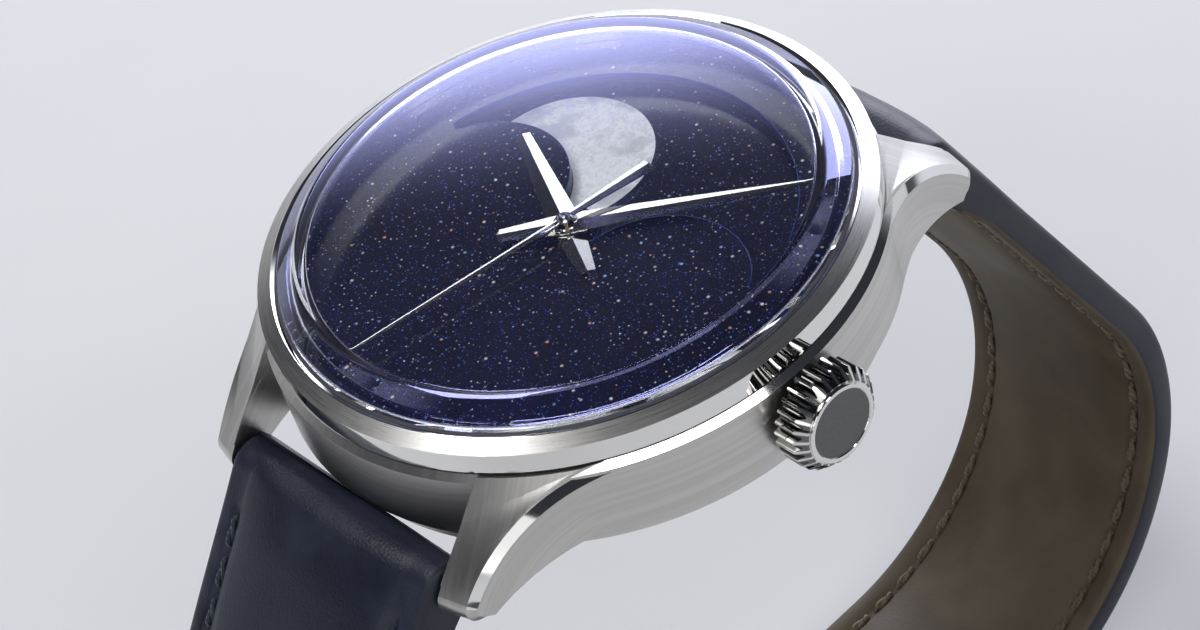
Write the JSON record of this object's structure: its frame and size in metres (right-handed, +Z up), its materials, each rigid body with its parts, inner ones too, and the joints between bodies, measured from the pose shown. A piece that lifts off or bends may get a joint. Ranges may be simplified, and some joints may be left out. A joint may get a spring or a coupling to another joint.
{
  "type": "moon phase wristwatch",
  "caption": "Round steel wristwatch with domed crystal, large moon window, pointed hands, fluted crown and a buckled leather strap closed in a loop.",
  "frame": {"origin": "dial axis at the floor, in the flat outer face of the fixed keeper", "axes": "+Z up along the dial's axis, +X to the crown at 3 o'clock, +Y to 12 o'clock"},
  "size_m": [0.0434, 0.078, 0.0697],
  "materials": {
    "steel": "fine brushed steel",
    "polished": "mirror polished steel",
    "sapphire": "clear polished",
    "seal": "matte black",
    "plate_brass": "fine matte",
    "aventurine": "dark blue glass with fine sparkling flecks",
    "moon_print": "printed pale grey",
    "gilt": "gilt, satin",
    "rhodium": "rhodium plated, satin",
    "ruby": "polished",
    "navy_leather": "smooth matte"
  },
  "bodies": {
    "case": {"mid_case": "steel", "bezel": "polished", "crystal": "sapphire", "crystal_gasket": "seal", "case_back": "steel", "case_back_gasket": "seal", "case_back_glass": "sapphire", "back_glass_gasket": "seal", "crown_tube": "steel", "movement_holder": "plate_brass", "dial_plate": "aventurine", "dial_base": "plate_brass", "main_plate": "rhodium", "pallet_cock": "rhodium", "hairspring": "steel", "balance_cock": "rhodium", "barrel_bridge": "rhodium", "train_bridge": "rhodium", "jewels": "ruby", "bridge_screws": "polished", "rotor_bearing": "steel", "rotor_screw": "polished", "strap_short": "navy_leather", "strap_long": "navy_leather", "spring_bars": "steel", "fixed_keeper": "navy_leather", "buckle_frame": "polished", "buckle_bar": "steel"},
    "winding": {"winding_pinion": "steel"},
    "crown": {"crown": "polished", "crown_seal": "seal", "winding_stem": "steel"},
    "hour": {"hour_hand": "polished", "hour_wheel": "gilt"},
    "minute": {"minute_hand": "polished", "cannon_pinion": "steel"},
    "minute_wheel": {"minute_wheel": "gilt"},
    "moon_driver": {"moon_driver": "gilt"},
    "moon": {"moon_disc": "aventurine", "moons": "moon_print"},
    "seconds": {"seconds_hand": "polished", "fourth_wheel": "gilt"},
    "third_wheel": {"third_wheel": "gilt"},
    "escape_wheel": {"escape_wheel": "gilt"},
    "pallet_fork": {"pallet_fork": "steel"},
    "balance": {"balance_wheel": "gilt"},
    "barrel": {"barrel": "gilt"},
    "ratchet_wheel": {"ratchet_wheel": "steel"},
    "rotor": {"rotor": "rhodium"},
    "free_keeper": {"free_keeper": "navy_leather"},
    "buckle_tongue": {"buckle_tongue": "polished"}
  },
  "joints": [
    {"name": "winding_turn", "type": "hinge", "parent": "case", "child": "winding", "pos_m": [0.01, 0, 0.06218], "axis": [1, 0, 0], "continuous": true},
    {"name": "crown_pull", "type": "slide", "parent": "winding", "child": "crown", "axis": [1, 0, 0], "range_m": [0, 0.0012]},
    {"name": "hour_turn", "type": "hinge", "parent": "case", "child": "hour", "pos_m": [0, 0, 0.06283], "axis": [0, 0, -1], "continuous": true},
    {"name": "minute_turn", "type": "hinge", "parent": "case", "child": "minute", "pos_m": [0, 0, 0.06283], "axis": [0, 0, -1], "continuous": true},
    {"name": "minute_wheel_turn", "type": "hinge", "parent": "case", "child": "minute_wheel", "pos_m": [0.0018, 0.00312, 0.06283], "axis": [0, 0, -1], "continuous": true},
    {"name": "moon_driver_turn", "type": "hinge", "parent": "case", "child": "moon_driver", "pos_m": [-0.00407, -0.00407, 0.06283], "axis": [0, 0, -1], "continuous": true},
    {"name": "moon_turn", "type": "hinge", "parent": "case", "child": "moon", "pos_m": [0, 0, 0.06283], "axis": [0, 0, -1], "continuous": true},
    {"name": "seconds_turn", "type": "hinge", "parent": "case", "child": "seconds", "pos_m": [0, 0, 0.06283], "axis": [0, 0, -1], "continuous": true},
    {"name": "third_wheel_turn", "type": "hinge", "parent": "case", "child": "third_wheel", "pos_m": [0.0022, 0.0052, 0.06283], "axis": [0, 0, -1], "continuous": true},
    {"name": "escape_wheel_turn", "type": "hinge", "parent": "case", "child": "escape_wheel", "pos_m": [-0.0008, -0.005, 0.06283], "axis": [0, 0, -1], "continuous": true},
    {"name": "barrel_turn", "type": "hinge", "parent": "case", "child": "barrel", "pos_m": [-0.0068, 0.0025, 0.06283], "axis": [0, 0, -1], "continuous": true},
    {"name": "pallet_fork_swing", "type": "hinge", "parent": "case", "child": "pallet_fork", "pos_m": [0.0017, -0.0075, 0.06283], "axis": [0, 0, -1], "range_deg": [-5, 5]},
    {"name": "balance_swing", "type": "hinge", "parent": "case", "child": "balance", "pos_m": [0.005, -0.006, 0.06283], "axis": [0, 0, -1], "range_deg": [-150, 150], "stiffness_Nm_per_rad": 0.00000025},
    {"name": "ratchet_turn", "type": "hinge", "parent": "case", "child": "ratchet_wheel", "pos_m": [-0.0068, 0.0025, 0.06283], "axis": [0, 0, -1], "continuous": true},
    {"name": "rotor_spin", "type": "hinge", "parent": "case", "child": "rotor", "pos_m": [0, 0, 0.06283], "axis": [0, 0, -1], "continuous": true},
    {"name": "free_keeper_slide", "type": "slide", "parent": "case", "child": "free_keeper", "axis": [0, 1, 0], "range_m": [0, 0.01]},
    {"name": "tongue_turn", "type": "hinge", "parent": "case", "child": "buckle_tongue", "pos_m": [0, -0.0052, 0.00505], "axis": [1, 0, 0], "range_deg": [0, 10]}
  ],
  "couplings": [
    {"joint": "minute_turn", "follows": "hour_turn", "ratio": 12},
    {"joint": "minute_wheel_turn", "follows": "hour_turn", "ratio": -4},
    {"joint": "moon_driver_turn", "follows": "hour_turn", "ratio": -0.5},
    {"joint": "moon_turn", "follows": "hour_turn", "ratio": 0.0084658},
    {"joint": "third_wheel_turn", "follows": "seconds_turn", "ratio": -0.125},
    {"joint": "escape_wheel_turn", "follows": "seconds_turn", "ratio": -12},
    {"joint": "barrel_turn", "follows": "seconds_turn", "ratio": -0.0023148},
    {"joint": "ratchet_turn", "follows": "winding_turn", "ratio": 0.31818}
  ]
}
